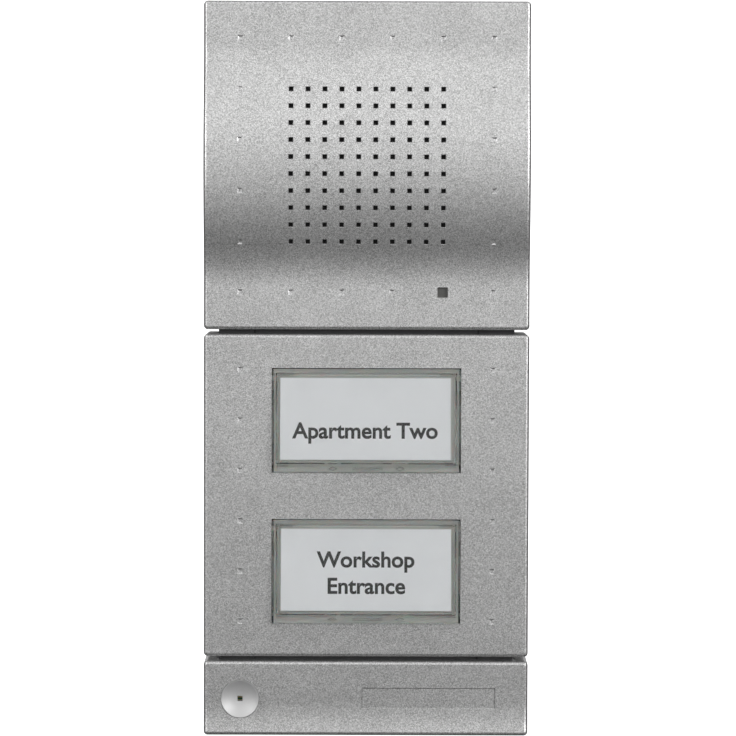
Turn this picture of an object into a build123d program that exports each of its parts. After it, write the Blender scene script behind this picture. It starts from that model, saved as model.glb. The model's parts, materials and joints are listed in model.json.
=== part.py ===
"""Door intercom panel: a surface-mounted outdoor door station with a speaker module, two
name-plate call buttons and a light-switch module, clipped to one wall base.

Every piece is drawn as seen by a visitor: x to the right, y up and z out of the wall, with the
wall at z = 0 and the panel's centre at the origin. save() stands the pieces up, so that the
stored part has +Z up and its front towards -Y. All sizes are in millimetres.
"""
from build123d import *
import os
from math import asin, atan, cos, degrees, sin, sqrt

os.makedirs("parts", exist_ok=True)

# ---------------------------------------------------------------- driving dimensions
PANEL_WIDTH = 99.0
SPEAKER_HEIGHT = 99.5
BUTTON_HEIGHT = 98.5
INFO_HEIGHT = 23.0
MODULE_GAP = 1.0
PANEL_HEIGHT = SPEAKER_HEIGHT + BUTTON_HEIGHT + INFO_HEIGHT + 2 * MODULE_GAP

COVER_FACE = 22.0        # flat front of the covers, from the wall
COVER_BACK = 2.0         # rear edge of the covers' skirts
COVER_WALL = 1.8
COVER_DRAFT = 0.6        # degrees
COVER_CORNER = 1.4
COVER_ROUND = 1.0        # radius of the edge between a cover's front and its skirt
UNDERSIDE = COVER_FACE - COVER_WALL
GRID = 5.1               # pitch of the sound holes, and the unit of the whole layout

BULGE_HEIGHT = 4.8       # speaker cover: how far its middle stands proud
BULGE_FOOT = 36.3        # half height of the bulge, where it meets the flat face
BULGE_TURN = 24.5        # where the concave foot turns into the convex crown
FLARE_START = 1.0        # info cover: the lower edge flares out from here, below its middle
FLARE_RISE = 0.8

SOUND_HOLE = 1.3
HOLE_BREAK = 0.15        # chamfer round each hole's mouth
DIMPLE = 1.7             # mouth of a dimple, whose sides slope in to a smaller floor
DIMPLE_SLOPE = 0.45      # width of each sloping side
DIMPLE_DEPTH = 0.22
MIC_WINDOW = 3.0

BASE_WIDTH = 90.0
BASE_HEIGHT = 217.0
BASE_FLOOR = 2.5
BASE_WALL = 2.0
BASE_RIM = 15.0          # front edge of the base's outer wall
BAR_FRONT = 16.5         # front of the cross bars behind the module gaps
BAR_HALF = 3.0
WALL_HOLE_R = 2.2
WALL_HOLE_X = 30.0
WALL_HOLE_TOP = 100.0
WALL_HOLE_BOTTOM = -80.0
CABLE_ENTRY = (34.0, 22.0)
CABLE_ENTRY_Y = -39.0

BOARD = 1.6              # circuit board thickness
SCREW_HEAD_R = 2.1
SCREW_HEAD = 1.5
SCREW_R = 1.05
PILOT_R = 1.1

OPENING = (57.4, 31.8)   # opening for a call button
BUTTON_SIZE = (56.8, 31.2)
BUTTON_PITCH = 9 * GRID
BUTTON_LOW = 22.3        # front of a call button at its top edge, from the wall
BUTTON_PROUD = 3.1       # how much further its bottom edge stands out
WINDOW_PANE = 1.6
WINDOW_SIDE = 2.2        # the clear cap's walls, which show as a border round the name card
WINDOW_TOP = 2.5
WINDOW_BOTTOM = 3.4
WINDOW_BACK = 19.4
WINDOW_LIP = 1.05        # from the cap's edge to the groove that outlines its pane
WINDOW_GROOVE = 0.5
BEVEL_HEIGHT = 2.5       # the cap's lower edge slopes back below the pane
BEVEL_DEPTH = 1.4
CARD = (51.6, 24.6)
CARD_THICK = 0.3
CARD_SHIFT = {1: -0.3, 2: 0.0}    # each card lies loose in its tray
TRAY_THICK = 1.2
TRAY_SKIRT = 0.8
TRAY_BACK = 18.2
STOP_X = 2 * GRID        # the stops that keep a call button in its opening
HINGE_UP = 12.6          # hinge axis above the button's middle
HINGE_OUT = 18.1
HINGE_R = 0.9
HINGE_CLEARANCE = 0.06
TRUNNION_END = 31.0
TRUNNION_LENGTH = 5.2
SWITCH_DOWN = 11.0       # switch below the button's middle
SWITCH_SIZE = 6.2
SWITCH_BODY = 3.5
PLUNGER_R = 1.7
PLUNGER_OUT = 1.5
SPRING_X = 20.0
SPRING_DOWN = 9.0

BUTTON_BOARD_BACK = 11.0
FRAME_BACK = BUTTON_BOARD_BACK + BOARD
FRAME_FRONT = FRAME_BACK + 2.0

LIGHT_X = -7.5 * GRID
LIGHT_R = 5.75
LIGHT_GAP = 0.12
LIGHT_DISH_R = 5.6
LIGHT_DISH_DEPTH = 1.3
LIGHT_WINDOW = 1.5
LIGHT_FLANGE_BACK = 18.4
LIGHT_BOARD_BACK = 10.0
INFO_FIELD = (40.7, 6.5)
INFO_FIELD_X = 19.05
INFO_FIELD_DEPTH = 0.35

AUDIO_BOARD_BACK = 5.0
AUDIO_BOARD_FRONT = AUDIO_BOARD_BACK + BOARD
AUDIO_BOARD = (82.0, 78.0)
AUDIO_BOARD_Y = 55.5
CARRIER_BACK = 17.8
CARRIER_FRONT = 19.4

# ---------------------------------------------------------------- places worked out from them
TOP = PANEL_HEIGHT / 2
SPEAKER_Y = TOP - SPEAKER_HEIGHT / 2
BUTTONS_Y = SPEAKER_Y - SPEAKER_HEIGHT / 2 - MODULE_GAP - BUTTON_HEIGHT / 2
INFO_Y = -TOP + INFO_HEIGHT / 2
UPPER_GAP_Y = SPEAKER_Y - SPEAKER_HEIGHT / 2 - MODULE_GAP / 2
LOWER_GAP_Y = INFO_Y + INFO_HEIGHT / 2 + MODULE_GAP / 2
CALL_BUTTONS = {1: BUTTONS_Y + BUTTON_PITCH / 2, 2: BUTTONS_Y - BUTTON_PITCH / 2}
LIGHT_Y = INFO_Y - 0.3
LIGHT_SWITCH_X = LIGHT_X + 9.5
LIGHT_BOARD_Y = INFO_Y + 1.25
MIC_X = 4.5 * GRID
MIC_Y = SPEAKER_Y - 7.5 * GRID

BULGE_ANGLE = 2 * atan(BULGE_HEIGHT / BULGE_FOOT)
CROWN_R = BULGE_TURN / sin(BULGE_ANGLE)
FOOT_R = (BULGE_FOOT - BULGE_TURN) / sin(BULGE_ANGLE)
FLARE_LENGTH = INFO_HEIGHT / 2 - FLARE_START
FLARE_R = (FLARE_LENGTH ** 2 + FLARE_RISE ** 2) / (2 * FLARE_RISE)
BUTTON_SLOPE = BUTTON_PROUD / BUTTON_SIZE[1]


# ---------------------------------------------------------------- small helpers
def save(name, shape):
    """Stand a piece up, so that its front faces -Y, and write it."""
    export_step(Plane.XZ.location * shape, f"parts/{name}.step")


def block(width, height, back, front, x=0.0, y=0.0):
    return Pos(x, y, (back + front) / 2) * Box(width, height, front - back)


def span(x_low, x_high, y_low, y_high, back, front):
    return block(x_high - x_low, y_high - y_low, back, front, (x_low + x_high) / 2, (y_low + y_high) / 2)


def rod(radius, back, front, x=0.0, y=0.0):
    return Pos(x, y, (back + front) / 2) * Cylinder(radius, front - back)


def ring(outer, inner, back, front, x=0.0, y=0.0):
    return rod(outer, back, front, x, y) - rod(inner, back - 1, front + 1, x, y)


def turned(points):
    """A body of revolution about z, from (radius, out) points of its half section."""
    return revolve(make_face(Plane.XZ * Polyline(*points, close=True)), Axis.Z)


def side_cut(face, width):
    """Extrude a face drawn in (y, out) across the panel, width to each side of the middle."""
    return extrude(Plane.YZ * face, amount=width, both=True)


def group(shapes):
    return Compound([solid for shape in shapes for solid in shape.solids()])


def screw(x, y, seat, tip, facing=1):
    """A pan-head screw with a cross slot. facing 1: the head is on the front, -1: on the back."""
    head_end = seat + facing * SCREW_HEAD
    slot_end = seat + facing * (SCREW_HEAD - 0.6)
    head = rod(SCREW_HEAD_R, min(seat, head_end), max(seat, head_end), x, y)
    shank = rod(SCREW_R, min(seat, tip), max(seat, tip), x, y)
    low, high = min(slot_end, head_end + facing), max(slot_end, head_end + facing)
    cross = block(2.6, 0.5, low, high, x, y) + block(0.5, 2.6, low, high, x, y)
    return head + shank - cross


def wire(radius, points, bend):
    path = FilletPolyline(*points, radius=bend)
    section = Plane(origin=path @ 0, z_dir=path % 0) * Circle(radius)
    return sweep(section, path=path)


def coil_spring(x, y, back, front, radius, wire_radius, turns):
    """A compression spring whose ends stop just short of its two seats."""
    inset = wire_radius + 0.05
    height = front - back - 2 * inset
    path = Helix(pitch=height / turns, height=height, radius=radius)
    section = Plane(origin=path @ 0, z_dir=path % 0) * Circle(wire_radius)
    return Pos(x, y, back + inset) * sweep(section, path=path, is_frenet=True)


def grid_points(columns, rows):
    return [(column * GRID, row * GRID) for column in columns for row in rows]


# ---------------------------------------------------------------- covers
def speaker_profile(depth):
    """Side view of the speaker cover's front, moved depth into the material."""
    half = SPEAKER_HEIGHT / 2 + 1
    flat = COVER_FACE - depth
    crown_centre = COVER_FACE + BULGE_HEIGHT - CROWN_R

    def foot(angle, side):
        reach = FOOT_R + depth
        return side * (BULGE_FOOT - reach * sin(angle)), COVER_FACE + FOOT_R - reach * cos(angle)

    edges = [
        Polyline((foot(0, -1)), (-half, flat), (-half, 0), (half, 0), (half, flat), (foot(0, 1))),
        ThreePointArc(foot(0, 1), foot(BULGE_ANGLE / 2, 1), foot(BULGE_ANGLE, 1)),
        ThreePointArc(foot(BULGE_ANGLE, 1), (0, crown_centre + CROWN_R - depth), foot(BULGE_ANGLE, -1)),
        ThreePointArc(foot(BULGE_ANGLE, -1), foot(BULGE_ANGLE / 2, -1), foot(0, -1)),
    ]
    return make_face(edges)


def speaker_surface(y):
    """How far from the wall the speaker cover's front stands, y above its middle."""
    if abs(y) > BULGE_FOOT:
        return COVER_FACE
    if abs(y) > BULGE_TURN:
        return COVER_FACE + FOOT_R - sqrt(FOOT_R ** 2 - (BULGE_FOOT - abs(y)) ** 2)
    return COVER_FACE + BULGE_HEIGHT - CROWN_R + sqrt(CROWN_R ** 2 - y ** 2)


def speaker_lean(y):
    """How far the speaker cover's front leans back, in degrees, y above its middle."""
    if abs(y) > BULGE_FOOT:
        return 0.0
    side = 1 if y > 0 else -1
    if abs(y) > BULGE_TURN:
        return side * degrees(asin((BULGE_FOOT - abs(y)) / FOOT_R))
    return degrees(asin(y / CROWN_R))


def on_speaker(x, y):
    """The place on the speaker cover's front, x and y from its middle, turned square to the surface."""
    return Pos(x, SPEAKER_Y + y, speaker_surface(y)) * Rot(-speaker_lean(y), 0, 0)


def flat_profile(height):
    def profile(depth):
        return Pos(0, (COVER_FACE - depth) / 2) * Rectangle(height + 2, COVER_FACE - depth)
    return profile


def flare_profile(depth):
    """Side view of the info cover's front: flat, then flaring out to the lower edge."""
    half = INFO_HEIGHT / 2 + 1
    flat = COVER_FACE - depth
    reach = FLARE_R + depth

    def flare(angle):
        return -FLARE_START - reach * sin(angle), COVER_FACE + FLARE_R - reach * cos(angle)

    end = atan((FLARE_LENGTH + 1) / sqrt(FLARE_R ** 2 - (FLARE_LENGTH + 1) ** 2))
    low = flare(end)
    edges = [
        Polyline(low, (low[0], 0), (half, 0), (half, flat), flare(0)),
        ThreePointArc(flare(0), flare(end / 2), low),
    ]
    return make_face(edges)


def cover_prism(height, wall):
    """The drafted block that a cover is cut from, wall inside its outer faces."""
    base = Rectangle(PANEL_WIDTH - 2 * wall, height - 2 * wall)
    if wall == 0:
        base = RectangleRounded(PANEL_WIDTH, height, COVER_CORNER)
    return Pos(0, 0, COVER_BACK) * extrude(base, amount=COVER_FACE + BULGE_HEIGHT, taper=COVER_DRAFT)


def rounded(solid):
    """Round the edges between a cover's front and its skirt."""
    front = [f for f in solid.faces() if f.normal_at(f.center()).Z > 0.7]
    skirt = [f for f in solid.faces() if abs(f.normal_at(f.center()).Z) < 0.3]
    skirt_edges = [e for f in skirt for e in f.edges()]
    rim = [e for f in front for e in f.edges() if any(e.is_same(other) for other in skirt_edges)]
    return fillet(rim, COVER_ROUND)


def cover_shell(y, height, profile, open_ends):
    """A cover's shell, with its skirt cut back where it passes the base's cross bars."""
    outer = rounded(cover_prism(height, 0) & side_cut(profile(0), PANEL_WIDTH))
    inner = cover_prism(height, COVER_WALL) & side_cut(profile(COVER_WALL), PANEL_WIDTH)
    shell = Pos(0, y, 0) * (outer - inner - block(PANEL_WIDTH, height, 0, COVER_BACK))
    for end in open_ends:
        edge = y + end * height / 2
        shell -= block(BASE_WIDTH + 1.2, 6, 0, BAR_FRONT + 0.4, 0, edge)
    return shell


def under_front(y, profile, depth, shape):
    """Keep the part of a rib or boss that lies under a cover's front, depth inside it."""
    return shape & (Pos(0, y, 0) * side_cut(profile(depth), PANEL_WIDTH))


def snap_tabs(wall_y, side, tab_x):
    """Two latch tabs that hang from a cover beside a wall of the base; side is the wall's direction."""
    tabs = Part()
    thick, clear, barb = 1.2, 0.1, 0.6
    for x in (-tab_x, tab_x):
        tabs += block(8, thick, 11, UNDERSIDE + 0.5, x, wall_y - side * (clear + thick / 2))
        tabs += block(8, barb + clear, 11.5, 12.7, x, wall_y + side * (barb - clear) / 2)
    return tabs


def snap_pockets(wall_y, side, tab_x):
    """The pockets in the base that the tabs' barbs click into."""
    pockets = Part()
    for x in (-tab_x, tab_x):
        pockets += block(8.8, 0.9, 11.2, 13.0, x, wall_y + side * 0.45)
    return pockets


def tapered(width, height, inset, depth):
    """A cutter whose sides slope in by inset from a mouth at z = 0, and that stands clear above it."""
    flare = 2 * inset / depth
    top = Rectangle(width + flare, height + flare)
    floor = Rectangle(width - 2 * inset, height - 2 * inset)
    return loft([Pos(0, 0, 1) * top, Pos(0, 0, -depth) * floor])


def chamfer_cut(hole):
    mouth = hole + 2 * HOLE_BREAK
    return tapered(mouth, mouth, HOLE_BREAK, HOLE_BREAK)


def dimple():
    return tapered(DIMPLE, DIMPLE, DIMPLE_SLOPE, DIMPLE_DEPTH)


UPPER_BAR = (UPPER_GAP_Y - BAR_HALF, UPPER_GAP_Y + BAR_HALF)
LOWER_BAR = (LOWER_GAP_Y - BAR_HALF, LOWER_GAP_Y + BAR_HALF)
BASE_INNER_END = BASE_HEIGHT / 2 - BASE_WALL
LATCH_X = 34.0
INFO_LATCH_X = 22.0
SPEAKER_LATCHES = [(BASE_INNER_END, 1, LATCH_X), (UPPER_BAR[1], -1, LATCH_X)]
BUTTON_LATCHES = [(UPPER_BAR[0], 1, LATCH_X), (LOWER_BAR[1], -1, LATCH_X)]
INFO_LATCHES = [(LOWER_BAR[0], 1, INFO_LATCH_X), (-BASE_INNER_END, -1, INFO_LATCH_X)]

SPEAKER_BOSSES = [(x, SPEAKER_Y + y) for x in (-28.5, 28.5) for y in (-28.5, 28.5)]
FRAME_BOSSES = [(x, BUTTONS_Y + y) for x in (-39, 39) for y in (-40, 40)]


def speaker_dimples():
    """Small square dimples that continue the sound holes' grid round the cover."""
    outer = (-7.5, 7.5)
    inner = (-4.5, -1.5, 1.5, 4.5)
    places = grid_points(outer, outer) + grid_points(inner, outer) + grid_points(outer, inner)
    return [(x, y) for x, y in places if (x, y) != (MIC_X, -7.5 * GRID)]


def speaker_cover():
    cover = cover_shell(SPEAKER_Y, SPEAKER_HEIGHT, speaker_profile, [-1])
    rib = block(52.4, 52.4, 20.0, 30, 0, SPEAKER_Y) - block(50, 50, 19, 31, 0, SPEAKER_Y)
    bosses = [rod(2.8, CARRIER_FRONT, 30, x, y) for x, y in SPEAKER_BOSSES]
    mic_rib = ring(6.2, 5.0, 17.0, 30, MIC_X, MIC_Y)
    for extra in [rib, mic_rib, *bosses]:
        cover += under_front(SPEAKER_Y, speaker_profile, COVER_WALL / 2, extra)
    for latch in SPEAKER_LATCHES:
        cover += snap_tabs(*latch)
    steps = [n + 0.5 for n in range(-5, 5)]
    cuts = []
    for x, y in grid_points(steps, steps):
        cuts.append(block(SOUND_HOLE, SOUND_HOLE, 20, 30, x, SPEAKER_Y + y))
        cuts.append(on_speaker(x, y) * chamfer_cut(SOUND_HOLE))
    cuts += [on_speaker(x, y) * dimple() for x, y in speaker_dimples()]
    cuts.append(block(MIC_WINDOW, MIC_WINDOW, 18, 24, MIC_X, MIC_Y))
    cuts.append(Pos(MIC_X, MIC_Y, COVER_FACE) * chamfer_cut(MIC_WINDOW))
    cuts += [rod(PILOT_R, CARRIER_FRONT - 1, 21.6, x, y) for x, y in SPEAKER_BOSSES]
    return cover - cuts


def button_cover():
    profile = flat_profile(BUTTON_HEIGHT)
    cover = cover_shell(BUTTONS_Y, BUTTON_HEIGHT, profile, [-1, 1])
    for x, y in FRAME_BOSSES:
        cover += rod(2.8, FRAME_FRONT, UNDERSIDE + 0.5, x, y)
    for latch in BUTTON_LATCHES:
        cover += snap_tabs(*latch)
    for y in CALL_BUTTONS.values():
        for x in (-STOP_X, STOP_X):
            cover += block(6, 1.4, 19.3, UNDERSIDE + 0.5, x, y - OPENING[1] / 2 - 1.0)
    cuts = [block(*OPENING, 18, 24, 0, y) for y in CALL_BUTTONS.values()]
    for x, y in grid_points((-7.5, 7.5), [1.5 * n for n in (-5, -3, -1, 1, 3, 5)]):
        cuts.append(Pos(x, BUTTONS_Y + y, COVER_FACE) * dimple())
    cuts += [rod(PILOT_R, FRAME_FRONT - 1, 20.6, x, y) for x, y in FRAME_BOSSES]
    return cover - cuts


def info_cover():
    cover = cover_shell(INFO_Y, INFO_HEIGHT, flare_profile, [1])
    for latch in INFO_LATCHES:
        cover += snap_tabs(*latch)
    field = tapered(*INFO_FIELD, INFO_FIELD_DEPTH, INFO_FIELD_DEPTH)
    cover -= Pos(INFO_FIELD_X, INFO_Y, COVER_FACE) * field
    return cover - rod(LIGHT_R + LIGHT_GAP, 18, 26, LIGHT_X, LIGHT_Y)


# ---------------------------------------------------------------- wall base
AUDIO_SCREWS = [(x, y) for x in (-37.5, 37.5) for y in (20.5, 90.5)]
LIGHT_SCREWS = [(-12, LIGHT_BOARD_Y), (32, LIGHT_BOARD_Y)]
WALL_HOLES = [(x, y) for x in (-WALL_HOLE_X, WALL_HOLE_X) for y in (WALL_HOLE_TOP, WALL_HOLE_BOTTOM)]
SEAL_GROOVE = (3.0, 1.5)     # width and depth of the groove for the wall seal
SEAL_INSET = 1.5


def seal_loop(slack=0.0):
    """The wall seal's closed loop, near the edge of the base's back."""
    width, depth = SEAL_GROOVE
    long, high = BASE_WIDTH - 2 * SEAL_INSET, BASE_HEIGHT - 2 * SEAL_INSET
    outer = RectangleRounded(long, high, 3)
    inner = RectangleRounded(long - 2 * width, high - 2 * width, 1)
    return extrude(outer - inner, amount=depth + slack)


def wall_base():
    outer = extrude(RectangleRounded(BASE_WIDTH, BASE_HEIGHT, 3), amount=BASE_RIM)
    inner = block(BASE_WIDTH - 2 * BASE_WALL, BASE_HEIGHT - 2 * BASE_WALL, BASE_FLOOR, BASE_RIM + 1)
    base = outer - inner
    for y in (UPPER_GAP_Y, LOWER_GAP_Y):
        base += block(BASE_WIDTH, 2 * BAR_HALF, 1, BAR_FRONT, 0, y)
    rim = (CABLE_ENTRY[0] + 3, CABLE_ENTRY[1] + 3)
    base += block(*rim, 1, 4.0, 0, CABLE_ENTRY_Y)
    for x, y in AUDIO_SCREWS:
        base += rod(3.0, 1, AUDIO_BOARD_BACK, x, y)
    for x, y in LIGHT_SCREWS:
        base += rod(2.8, 1, LIGHT_BOARD_BACK, x, y)
    for x, y in WALL_HOLES:
        base += rod(4.6, 1, 3.5, x, y)
    for x in (-42.7, 42.7):
        for y in (40, 70, -20, -55):
            base += block(1.2, 1.2, 1, BASE_RIM - 2, x, y)
    cuts = [block(*CABLE_ENTRY, -1, 6, 0, CABLE_ENTRY_Y), Pos(0, 0, -1) * seal_loop(1.0)]
    cuts += [rod(WALL_HOLE_R, -1, 5, x, y) for x, y in WALL_HOLES]
    cuts += [rod(PILOT_R, 1.2, 6, x, y) for x, y in AUDIO_SCREWS]
    cuts += [rod(PILOT_R, 3, 12, x, y) for x, y in LIGHT_SCREWS]
    cuts.append(span(-27, 12, UPPER_BAR[0] - 1, UPPER_BAR[1] + 1, 5, 11))
    cuts.append(span(-8, 8, LOWER_BAR[0] - 1, LOWER_BAR[1] + 1, 5, 11))
    for y in (UPPER_GAP_Y, LOWER_GAP_Y):
        cuts += [block(0.5, 7, 13.5, BAR_FRONT + 1, x, y) for x in (-LATCH_X, LATCH_X)]
    cuts += [snap_pockets(*latch) for latch in SPEAKER_LATCHES + BUTTON_LATCHES + INFO_LATCHES]
    return base - cuts


def wall_seal():
    return seal_loop()


# ---------------------------------------------------------------- terminals and audio board
TERMINAL_Y = -66.0
TERMINAL_FRONT = 9.0
TERMINALS = [5.0 * (n - 2.5) for n in range(6)]


def terminal_block():
    body = block(31, 11, BASE_FLOOR, TERMINAL_FRONT, 0, TERMINAL_Y)
    body -= span(-16, 16, TERMINAL_Y + 3.5, TERMINAL_Y + 6, 7.5, 10)
    cuts = []
    for x in TERMINALS:
        cuts.append(rod(1.75, 6.0, 10, x, TERMINAL_Y))
        cuts.append(Pos(x, TERMINAL_Y - 3.5, 4.6) * Rot(90, 0, 0) * Cylinder(1.2, 7))
    return body - cuts


def terminal_screws():
    screws = []
    for x in TERMINALS:
        screws.append(rod(1.6, 6.0, 8.2, x, TERMINAL_Y) - block(2.4, 0.5, 7.6, 9, x, TERMINAL_Y))
    return group(screws)


def audio_board():
    board = block(*AUDIO_BOARD, AUDIO_BOARD_BACK, AUDIO_BOARD_FRONT, 0, AUDIO_BOARD_Y)
    board -= rod(15.5, 4, 8, 0, SPEAKER_Y)
    return board - [rod(1.3, 4, 8, x, y) for x, y in AUDIO_SCREWS]


def chip(x, y, width, height, thick, pins):
    """A chip with gull-wing legs on its two long sides."""
    seat = AUDIO_BOARD_FRONT
    body = block(width, height, seat + 0.15, seat + thick, x, y)
    pitch = width / (pins + 1)
    for n in range(pins):
        pin_x = x - width / 2 + pitch * (n + 1)
        for side in (-1, 1):
            foot_y = y + side * (height / 2 + 0.6)
            shoulder_y = y + side * (height / 2 + 0.15)
            body += block(pitch / 2, 1.2, seat, seat + 0.25, pin_x, foot_y)
            body += block(pitch / 2, 0.3, seat, seat + thick / 2, pin_x, shoulder_y)
    return body


def audio_chips():
    return group([chip(-17, 28, 12, 8, 1.8, 8), chip(2, 27, 9, 4.4, 1.6, 7), chip(34, 76, 5.2, 4, 1.5, 4)])


CAPACITORS = [(-33.5, 31, 4, 8.5), (-33.5, 41, 4, 8.5), (33.5, 84, 3.15, 7), (-20, 39, 3.15, 5.4)]


def audio_capacitors():
    cans = []
    for x, y, radius, height in CAPACITORS:
        seat = AUDIO_BOARD_FRONT
        can = rod(radius, seat + 0.8, seat + height, x, y)
        can = chamfer(can.edges().group_by(Axis.Z)[-1], 0.4)
        can -= ring(radius + 1, radius - 0.3, seat + 1.8, seat + 2.4, x, y)
        foot = block(2 * radius, 2 * radius, seat, seat + 0.8, x, y)
        cans.append(can + foot)
    return group(cans)


def line_transformer():
    core = block(16, 13, 1.0, 9) - block(9, 14, 3.4, 6.6)
    bobbin = block(18, 9, 0, 1.0)
    winding = block(8.6, 15.5, 3.5, 6.5) + block(12, 12.8, 3.5, 6.5)
    return Pos(31, 37, AUDIO_BOARD_FRONT) * (core + bobbin + winding)


TRIMMERS = {"volume_trimmer": (-34.0, 80.0), "microphone_trimmer": (-34.0, 70.0)}
TRIMMER_TOP = AUDIO_BOARD_FRONT + 3.2


def trimmer_bodies():
    bodies = []
    for x, y in TRIMMERS.values():
        body = block(6.6, 7.2, AUDIO_BOARD_FRONT, TRIMMER_TOP, x, y)
        bodies.append(body - rod(2.4, TRIMMER_TOP - 1.2, TRIMMER_TOP + 1, x, y))
    return group(bodies)


def trimmer_rotor(name):
    x, y = TRIMMERS[name]
    rotor = rod(2.1, TRIMMER_TOP - 1.1, TRIMMER_TOP + 1.1, x, y)
    return rotor - block(0.7, 3.4, TRIMMER_TOP + 0.3, TRIMMER_TOP + 2, x, y)


RIBBON_WIDTH = 8.0


def header(x, y, width, height, back, front):
    """A connector with an open cavity in its front."""
    cavity = block(width - 1.4, height - 1.4, front - 2.4, front + 1, x, y)
    return block(width, height, back, front, x, y) - cavity


def ribbon_socket(y, back, front):
    """A flat-cable socket with a locking bar; the cable goes in at its edge."""
    body = block(RIBBON_WIDTH + 4, 4, back, front, 0, y)
    return body - block(RIBBON_WIDTH + 1.2, 1.0, front - 0.5, front + 1, 0, y)


UPPER_SOCKETS = (19.5, 0.0)
LOWER_SOCKETS = (-79.0, -95.4)


def ribbon_sockets():
    return group([
        ribbon_socket(UPPER_SOCKETS[0], AUDIO_BOARD_FRONT, 11.0),
        ribbon_socket(UPPER_SOCKETS[1], 7.0, BUTTON_BOARD_BACK),
        ribbon_socket(LOWER_SOCKETS[0], 7.0, BUTTON_BOARD_BACK),
        ribbon_socket(LOWER_SOCKETS[1], 6.2, LIGHT_BOARD_BACK),
    ])


def flat_cable(y_top, out_top, y_bottom, out_bottom):
    """A flat cable between two sockets, with a shallow loop of slack towards the wall."""
    drop = (y_top - y_bottom) / 3
    low = min(out_top, out_bottom) - 1.4
    points = [
        (y_top, out_top), (y_top - 0.7 * drop, out_top), (y_top - 1.3 * drop, low),
        (y_bottom + 1.3 * drop, low), (y_bottom + 0.7 * drop, out_bottom), (y_bottom, out_bottom),
    ]
    strip = trace(FilletPolyline(*points, radius=1.0), line_width=0.3)
    return side_cut(strip, RIBBON_WIDTH / 2)


def wire_headers():
    return group([
        header(0, 34.5, 8, 4.4, AUDIO_BOARD_FRONT, 11.0),
        header(14, MIC_Y, 4.4, 6, AUDIO_BOARD_FRONT, 10.6),
        header(-22, 19.6, 8, 4.4, AUDIO_BOARD_FRONT, 11.0),
    ])


def bus_wires():
    """Two wires from the terminals, past the cable entry and through the cross bar, to the audio board."""
    wires = []
    for x_start, x_run in ((-12.5, -23.2), (-9.5, -20.8)):
        points = [
            (x_start, TERMINAL_Y + 5.5, 5.5), (x_start, -56.5, 5.5), (x_run, -49, 5.5),
            (x_run, 0, 5.5), (x_run, 9, 8.4), (x_run, 17.4, 8.4),
        ]
        wires.append(wire(0.7, points, 2.5))
    return group(wires)


# ---------------------------------------------------------------- loudspeaker
def grille_membrane():
    front = side_cut(speaker_profile(COVER_WALL + 0.05), 30)
    sheet = front - side_cut(speaker_profile(COVER_WALL + 0.35), 40)
    return Pos(0, SPEAKER_Y, 0) * (sheet & block(49.4, 49.4, 15, 30))


def speaker_gasket():
    frame = block(52.4, 52.4, CARRIER_FRONT, 20.0) - block(50, 50, 19, 21)
    return Pos(0, SPEAKER_Y, 0) * frame


def speaker_carrier():
    plate = extrude(RectangleRounded(64, 64, 4), amount=CARRIER_FRONT - CARRIER_BACK)
    plate = Pos(0, 0, CARRIER_BACK) * plate - rod(23.8, 17, 20)
    for angle in (0, 90, 180, 270):
        clip = block(1.4, 8, 15.9, CARRIER_BACK, 26.3) + block(2.4, 8, 15.9, 16.9, 25.6)
        plate += Rot(0, 0, angle) * clip
    plate = Pos(0, SPEAKER_Y, 0) * plate
    return plate - [rod(1.3, 17, 20, x, y) for x, y in SPEAKER_BOSSES]


def speaker_basket():
    """A pressed steel basket with four windows in its cone."""
    wall = 0.7
    shell = turned([
        (25, CARRIER_BACK), (25, 17), (23.4, 17), (15, 11.2), (13.7, 11.2), (13.7, 9.0),
        (7.2, 9.0), (7.2, 9.0 + wall), (13.0, 9.0 + wall), (13.0, 11.2 + wall),
        (14.7, 11.2 + wall), (23.2, 17.5), (23.6, CARRIER_BACK),
    ])
    for angle in (45, 135, 225, 315):
        shell -= Rot(0, 0, angle) * block(7, 9, 11.95, 16.6, 19.5)
    return Pos(0, SPEAKER_Y, 0) * shell


def speaker_magnet_parts():
    top_plate = ring(12.5, 7.0, 7.4, 9.0)
    magnet = ring(13.5, 7.6, 4.8, 7.4)
    yoke = rod(12.5, 3.6, 4.8) + rod(5.5, 4.8, 9.0)
    return {
        "speaker_top_plate": Pos(0, SPEAKER_Y, 0) * top_plate,
        "speaker_magnet": Pos(0, SPEAKER_Y, 0) * magnet,
        "speaker_yoke": Pos(0, SPEAKER_Y, 0) * yoke,
    }


def speaker_cone():
    skin = turned([(6.7, 12.6), (20.2, 17.0), (20.2, 17.35), (6.7, 12.95)])
    return Pos(0, SPEAKER_Y, 0) * skin


def speaker_surround():
    """The half-round rubber edge between the cone and the basket."""
    roll_centre = (21.9, 17.9)
    outline = [
        Polyline((23.5, 17.85), (23.4, 18.25)),
        ThreePointArc((23.4, 18.25), (roll_centre[0], 19.6), (20.6, 18.05)),
        Polyline((20.6, 18.05), (19.4, 17.75), (19.4, 17.5), (20.9, 17.8)),
        ThreePointArc((20.9, 17.8), (roll_centre[0], 19.2), (23.1, 17.85)),
        Line((23.1, 17.85), (23.5, 17.85)),
    ]
    return Pos(0, SPEAKER_Y, 0) * revolve(make_face(Plane.XZ * Curve(outline)), Axis.Z)


def speaker_spider():
    """The corrugated ring that centres the voice coil."""
    section = [(7.2, 12.0)]
    section += [(7.2 + 0.9 * n, 12.0 + (0.35 if n % 2 else 0.0)) for n in range(1, 8)]
    section += [(r, out + 0.25) for r, out in reversed(section)]
    return Pos(0, SPEAKER_Y, 0) * turned(section)


def voice_coil():
    former = ring(6.15, 5.85, 7.6, 12.95)
    winding = ring(6.55, 6.15, 7.6, 9.6)
    return Pos(0, SPEAKER_Y, 0) * (former + winding)


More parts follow.
